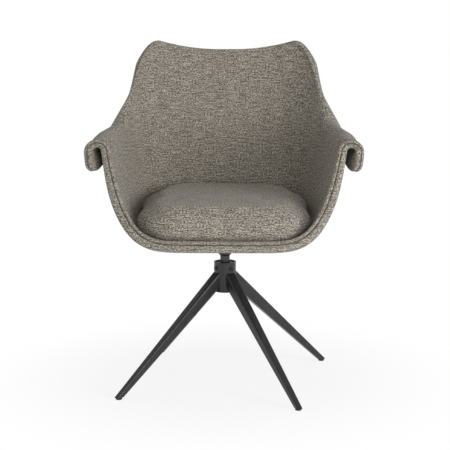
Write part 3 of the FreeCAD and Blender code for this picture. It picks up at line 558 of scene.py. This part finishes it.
def rim_line():
    """The rim as shares and sides, evenly spaced by length all round."""
    side_length = length_along(skin_point(np.linspace(0, 1, 41), np.ones(41))[0])[-1]
    front_length, top_length = skin_point([0.0, 1.0], [1.0, 1.0])[1]
    lip_share = LIP_CORNER / side_length
    lip_side = LIP_CORNER / front_length
    top_share = 1.3 * TOP_CORNER / side_length
    top_side = TOP_CORNER / top_length
    k = np.arange(60) / 60
    turn = math.pi / 2 * k
    share = np.concatenate([
        0 * k, lip_share * (1 - np.cos(turn)), lip_share + (1 - top_share - lip_share) * k,
        1 - top_share * (1 - np.sin(turn)), 1 + 0 * k, [1.0]])
    side = np.concatenate([
        (1 - lip_side) * k, 1 - lip_side * (1 - np.sin(turn)), 1 + 0 * k,
        1 - top_side * (1 - np.cos(turn)), (1 - top_side) * (1 - k), [0.0]])
    total = length_along(skin_point(share, side)[0])
    even = np.linspace(0, total[-1], AROUND // 2 + 1)
    share = np.interp(even, total, share)
    side = np.interp(even, total, side)
    return np.concatenate([share, share[-2:0:-1]]), np.concatenate([side, -side[-2:0:-1]])


def smooth_step(value):
    """0 below 0, 1 above 1 and smooth between them."""
    value = np.clip(value, 0.0, 1.0)
    return value * value * (3 - 2 * value)


# Spokes run from the pan's middle to the rim, and every layer of the upholstery
# follows them. The pan stays level up to where the spokes come free of it.

REACHES = np.linspace(0.0, 1.0, 141)
MIDDLE_SHARE = 0.33
LEVEL_REACH = 0.34
FREE_REACH = 0.52
PAD_THICK = 0.022
ARM_THICK = 0.015
rim_share, rim_side = rim_line()
reach_grid = np.repeat(REACHES, AROUND)
share_grid = MIDDLE_SHARE + (np.tile(rim_share, len(REACHES)) - MIDDLE_SHARE) * reach_grid
side_grid = np.tile(rim_side, len(REACHES)) * reach_grid
skin = skin_point(share_grid, side_grid)[0]
free = smooth_step((reach_grid - LEVEL_REACH) / (FREE_REACH - LEVEL_REACH))
skin[:, 2] = PAN + (skin[:, 2] - PAN) * free

skin = skin.reshape(len(REACHES), AROUND, 3)
side_grid = side_grid.reshape(len(REACHES), AROUND)
free = free.reshape(len(REACHES), AROUND, 1)
out_step = np.gradient(skin, axis=0)
around_step = np.roll(skin, -1, axis=1) - np.roll(skin, 1, axis=1)
normal = np.cross(out_step, around_step)
normal /= np.maximum(np.linalg.norm(normal, axis=2, keepdims=True), 1e-12)
if normal[60, 0, 2] < 0:
    normal = -normal
normal = normal * free + np.array((0.0, 0.0, 1.0)) * (1 - free)
normal /= np.linalg.norm(normal, axis=2, keepdims=True)
padding = PAD_THICK + (ARM_THICK - PAD_THICK) * smooth_step((np.abs(side_grid) - 0.5) / 0.35)
from_rim = np.zeros((len(REACHES), AROUND))
for k in range(len(REACHES) - 2, -1, -1):
    from_rim[k] = from_rim[k + 1] + np.linalg.norm(skin[k + 1] - skin[k], axis=1)

rim_normal = normal[-1]
rim_out = np.cross(around_step[-1], rim_normal)
rim_out /= np.linalg.norm(rim_out, axis=1, keepdims=True)
if (rim_out * out_step[-1]).sum() < 0:
    rim_out = -rim_out


def spoke_ring(distance):
    """Skin points, normals and thicknesses at distances from the rim."""
    values = np.concatenate([skin, normal, padding[:, :, None]], axis=2)
    found = np.empty((AROUND, values.shape[2]))
    reached = from_rim[::-1]
    flipped = values[::-1]
    for spoke in range(AROUND):
        for part in range(values.shape[2]):
            found[spoke, part] = np.interp(distance[spoke], reached[:, spoke], flipped[:, spoke, part])
    return found[:, :3], found[:, 3:6], found[:, 6]


def rim_row(outward, depth, lift):
    """A row beside the rim, by its way outward and its depth in the padding."""
    return rim_points + rim_out * outward - rim_normal * (rim_thick * depth - lift)[:, None]


def ring_distances(edge, steps):
    """Distances from the rim, near the given edge values first and then even."""
    last = edge[-1]
    rows = [np.full(AROUND, d) for d in edge]
    longest = from_rim[0] * 0.985
    crowding = 1.08
    for k in range(1, steps + 1):
        share = (k / steps) ** crowding
        rows.append(last + (longest - last) * share)
    return rows


def ring_mesh(name, rows, first_middle, last_middle):
    """A closed mesh whose rows are loops of points, with a fan at each end."""
    count = len(rows)
    points = np.concatenate([*rows, first_middle[None], last_middle[None]])
    faces = []
    for r in range(count - 1):
        for k in range(AROUND):
            after = (k + 1) % AROUND
            faces.append((r * AROUND + k, r * AROUND + after, (r + 1) * AROUND + after, (r + 1) * AROUND + k))
    top = count * AROUND
    for k in range(AROUND):
        after = (k + 1) % AROUND
        faces.append((top, after, k))
        faces.append((top + 1, (count - 1) * AROUND + k, (count - 1) * AROUND + after))
    mesh = bpy.data.meshes.new(name)
    mesh.from_pydata(points.tolist(), [], faces)
    mesh.polygons.foreach_set("use_smooth", np.ones(len(mesh.polygons), bool))
    cleaner = bmesh.new()
    cleaner.from_mesh(mesh)
    bmesh.ops.recalc_face_normals(cleaner, faces=cleaner.faces)
    cleaner.to_mesh(mesh)
    cleaner.free()
    piece = bpy.data.objects.new(name, mesh)
    bpy.context.scene.collection.objects.link(piece)
    return piece


# Upholstery cloth
# A heavy plain weave of taupe-grey yarns, spun from light and dark fibres, so
# that short flecks of both run with the weft. The weave lies on each face by
# the way that the face looks.


def woven_cloth(name, light, middle, dark):
    """Flecked yarns in three shades, a fine weave and a slow drift in the shade."""
    material, start = new_material(name)
    place = start.node("ShaderNodeTexCoord", {}, {}, out="Object")
    facing = start.node("ShaderNodeTexCoord", {}, {}, out="Normal")
    x, y, z = [start.node("ShaderNodeSeparateXYZ", {}, {0: place}, out=k) for k in range(3)]
    look = [start.node("ShaderNodeSeparateXYZ", {}, {0: facing}, out=k).maths("ABSOLUTE") for k in range(3)]
    sideways = look[0].maths("GREATER_THAN", look[1].maths("MAXIMUM", look[2]))
    level = look[2].maths("GREATER_THAN", look[0].maths("MAXIMUM", look[1]))
    across = x + (y - x) * sideways
    along = z + (y - z) * level

    def patch(wide, high, detail, seed):
        """Noise whose spots are about that wide and high in metres."""
        spot = start.node("ShaderNodeCombineXYZ", {}, {
            0: across * (1 / wide), 1: along * (1 / high), 2: seed})
        return start.node("ShaderNodeTexNoise", {}, {
            "Vector": spot, "Scale": 1.0, "Detail": detail, "Roughness": 0.6})

    fleck = patch(0.004, 0.0023, 2.0, 3.0)
    fibre = patch(0.0012, 0.0008, 1.0, 7.0)
    streak = patch(0.03, 0.0028, 1.0, 11.0)
    drift = patch(0.11, 0.09, 2.0, 17.0)
    mix = fleck * 0.58 + fibre * 0.22 + streak * 0.2
    colour = mix.between(0.42, 0.5).blend((*dark, 1.0), (*middle, 1.0))
    colour = mix.between(0.5, 0.585).blend(colour, (*light, 1.0))
    worn = start.node("ShaderNodeHueSaturation", {}, {"Color": colour, "Value": 0.9 + drift * 0.2})
    yarn = 0.0015
    warp = (across * (math.pi / yarn)).maths("SINE")
    weft = (along * (math.pi / yarn)).maths("SINE")
    height = mix * 0.75 + warp * weft * 0.12
    bump = start.node("ShaderNodeBump", {}, {"Strength": 0.6, "Distance": 0.0013, "Height": height})
    surface = start.node("ShaderNodeBsdfPrincipled", {}, {
        "Base Color": worn, "Roughness": 0.84 + fleck * 0.14, "Normal": bump,
        "Sheen Weight": 0.12, "Sheen Roughness": 0.5, "Specular IOR Level": 0.25})
    return finish_material(material, surface)


cloth_finish = woven_cloth("taupe_weave", (0.5, 0.46, 0.395), (0.225, 0.2, 0.165), (0.06, 0.053, 0.042))

# Outer cover
# Padded cloth over the outside of the board. It turns over the edge as a plump
# band and is sewn to the lining in a seam on the inner side of that band.

edge_rows = [0.0045, 0.0065, 0.009, 0.012, 0.017, 0.024, 0.033, 0.044, 0.057, 0.072, 0.09, 0.11]
outside_rows = []
for distance in reversed(ring_distances(edge_rows, 46)):
    points, normals, thick = spoke_ring(distance)
    tuck = np.clip(1 - (distance - 0.0045) / 0.006, 0, 1)[:, None] ** 2
    outside_rows.append(points - normals * thick[:, None] + normals * 0.0009 * tuck)

band_profile = (
    (-0.0036, 0.9, 0.0018), (-0.0024, 0.965, 0.0), (-0.0006, 0.995, 0.0), (0.0013, 0.985, 0.0),
    (0.0028, 0.94, 0.0), (0.0038, 0.86, 0.0), (0.0044, 0.74, 0.0), (0.0046, 0.6, 0.0), (0.0045, 0.48, 0.0),
    (0.0042, 0.38, 0.0), (0.0035, 0.3, 0.0), (0.0022, 0.245, 0.0), (0.0002, 0.22, 0.0), (-0.0022, 0.215, 0.0),
    (-0.0045, 0.235, 0.0), (-0.0068, 0.3, 0.0), (-0.0082, 0.42, 0.0),
)
rim_points, _, rim_thick = spoke_ring(np.zeros(AROUND))
band_rows = [rim_row(*step) for step in band_profile]
cavity_rows = []
for distance in ring_distances([0.0089, 0.014, 0.03], 14):
    points, normals, thick = spoke_ring(distance)
    cavity_rows.append(points - normals * (thick * 0.62 + 0.00015)[:, None])

centre = np.array((0.0, cavity_rows[-1][:, 1].mean(), PAN))
BOARD_UNDER = 0.0138
outer_cover = ring_mesh(
    "outer_cover", outside_rows + band_rows + cavity_rows,
    centre - (0, 0, PAD_THICK), centre - (0, 0, BOARD_UNDER))
outer_cover.data.materials.append(cloth_finish)
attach(outer_cover, "seat")
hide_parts("outer_padding")

# Lining
# Padded cloth on the sitter's side, thinner towards the arms. Its edge stands up
# as a plump ridge and rolls down into the seam along the band.

RIDGE = 0.0052
roll_profile = (
    (-0.004, 0.0, RIDGE), (-0.0018, 0.0, 0.0049), (0.0002, 0.0, 0.0042), (0.0018, 0.0, 0.003),
    (0.0028, 0.0, 0.0014), (0.0031, 0.02, 0.0), (0.0026, 0.09, 0.0), (0.0012, 0.145, 0.0),
    (-0.0008, 0.175, 0.0), (-0.003, 0.185, 0.0), (-0.006, 0.2, 0.0),
)


def unevenness(points, size, seed):
    """Soft lumps of about that size, from -1 to 1, for padding that isn't perfect."""
    return np.array([noise.noise(Vector(p) / size + Vector((seed, 0.0, 0.0))) for p in points])


lining_edge = [0.006, 0.0085, 0.0115, 0.015, 0.02, 0.027, 0.036, 0.047, 0.06, 0.075, 0.092, 0.11]
lining_rows = []
for distance in reversed(ring_distances(lining_edge, 60)):
    points, normals, thick = spoke_ring(distance)
    raised = RIDGE * np.exp(-(np.maximum(distance - 0.004, 0.0) / 0.008) ** 2)
    lumps = unevenness(points, 0.07, 4.0) * 0.0013 * np.clip((distance - 0.02) / 0.05, 0, 1)
    lining_rows.append(points + normals * (raised + lumps)[:, None])
lining_rows += [rim_row(*step) for step in roll_profile]
for distance in ring_distances([0.0094, 0.016, 0.03], 14):
    points, normals, thick = spoke_ring(distance)
    lining_rows.append(points - normals * np.maximum(thick * 0.38 - 0.0002, 0.0052)[:, None])
BOARD_OVER = 0.0081
lining = ring_mesh("lining", lining_rows, centre, centre - (0, 0, BOARD_OVER))
lining.data.materials.append(cloth_finish)
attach(lining, "seat")
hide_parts("inner_padding")

# Seat cushion
# A loose foam cushion in the same cloth, crowned on top, with a rounded front.
# The filled cover is inflated as cloth from a slightly smaller form and held to
# its space. Its sides and front underside then fill up to the lining.

cushion = nodes["seat_cushion"].copy()
cushion.data = nodes["seat_cushion"].data.copy()
cushion.name = "cushion"
cushion.parent = None
for key in list(cushion.keys()):
    del cushion[key]
bpy.context.scene.collection.objects.link(cushion)
cleaner = bmesh.new()
cleaner.from_mesh(cushion.data)
bmesh.ops.remove_doubles(cleaner, verts=cleaner.verts, dist=0.00001)
cleaner.to_mesh(cushion.data)
packed_form = BVHTree.FromBMesh(cleaner)
cleaner.free()
beside = BVHTree.FromObject(lining, bpy.context.evaluated_depsgraph_get())


def settle(piece):
    """Keep what the modifiers make of a piece as its own mesh."""
    ready = piece.evaluated_get(bpy.context.evaluated_depsgraph_get())
    mesh = bpy.data.meshes.new_from_object(ready)
    piece.modifiers.clear()
    piece.data = mesh


def vertex_places(mesh):
    """The places of a mesh's vertices, one row each."""
    places = np.empty(len(mesh.vertices) * 3, np.float32)
    mesh.vertices.foreach_get("co", places)
    return places.reshape(-1, 3).astype(float)


remesh = cushion.modifiers.new("even", "REMESH")
remesh.mode = "VOXEL"
VOXEL = 0.0055
remesh.voxel_size = VOXEL
settle(cushion)
SHRINK = 0.004
for vertex, facing in zip(cushion.data.vertices, [v.normal.copy() for v in cushion.data.vertices]):
    vertex.co -= facing * SHRINK
start_places = vertex_places(cushion.data)
fill = cushion.modifiers.new("fill", "CLOTH")
fill.settings.quality = 6
fill.settings.mass = 0.3
fill.settings.tension_stiffness = 6.0
fill.settings.compression_stiffness = 6.0
fill.settings.shear_stiffness = 3.0
fill.settings.bending_stiffness = 0.8
fill.settings.use_pressure = True
fill.settings.uniform_pressure_force = 6.0
fill.settings.effector_weights.gravity = 0.0
FRAMES = 20
fill.point_cache.frame_start = 1
fill.point_cache.frame_end = FRAMES
for frame_number in range(1, FRAMES + 1):
    bpy.context.scene.frame_set(frame_number)
settle(cushion)
bpy.context.scene.frame_set(1)
CAP = 0.012
moved = vertex_places(cushion.data) - start_places
distance = np.linalg.norm(moved, axis=1, keepdims=True)
moved *= np.minimum(1.0, CAP / np.maximum(distance, 1e-9))
places = start_places + moved
SPARE = 0.006
LEAST_GAP = 0.001
for k, place in enumerate(places):
    near, facing, _, _ = packed_form.find_nearest(Vector(place))
    outside = (Vector(place) - near).dot(facing)
    spare = min(SPARE, max(0.0, beside.find_nearest(near)[3] - LEAST_GAP))
    if outside > spare:
        places[k] = near + facing * spare
cushion.data.vertices.foreach_set("co", places.astype(np.float32).ravel())
cushion.data.update()
NEAR_LINING = 0.034
FADE_OUT = 0.012
STEEP = 0.6
LAST_GAP = 0.0012
LOOK = 0.1
facings = [v.normal.copy() for v in cushion.data.vertices]
spread = np.zeros(len(facings))
room = np.full(len(facings), 1.0)
for k, facing in enumerate(facings):
    reached = beside.ray_cast(cushion.data.vertices[k].co, facing, LOOK)[3]
    if reached is not None:
        room[k] = max(0.0, reached - LAST_GAP)
        if facing.z < STEEP and reached < NEAR_LINING:
            fade = min(1.0, (NEAR_LINING - reached) / FADE_OUT) * min(1.0, (STEEP - facing.z) / 0.3)
            spread[k] = room[k] * fade
pairs = np.empty(len(cushion.data.edges) * 2, np.int32)
cushion.data.edges.foreach_get("vertices", pairs)
pairs = pairs.reshape(-1, 2)
shares = np.bincount(pairs.ravel(), minlength=len(spread))
for _ in range(40):
    around_it = np.bincount(pairs[:, 0], spread[pairs[:, 1]], len(spread))
    around_it += np.bincount(pairs[:, 1], spread[pairs[:, 0]], len(spread))
    spread = 0.5 * spread + 0.5 * around_it / shares
spread = np.minimum(spread, room)
for k, facing in enumerate(facings):
    cushion.data.vertices[k].co += facing * float(spread[k])
smooth = cushion.modifiers.new("soften", "SMOOTH")
smooth.factor = 0.5
smooth.iterations = 4
finer = cushion.modifiers.new("finer", "SUBSURF")
finer.levels = 1
finer.render_levels = 1
settle(cushion)
cushion.data.name = "cushion"
cushion.data.polygons.foreach_set("use_smooth", np.ones(len(cushion.data.polygons), bool))
cushion.data.materials.clear()
cushion.data.materials.append(cloth_finish)
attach(cushion, "seat")
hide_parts("seat_cushion")
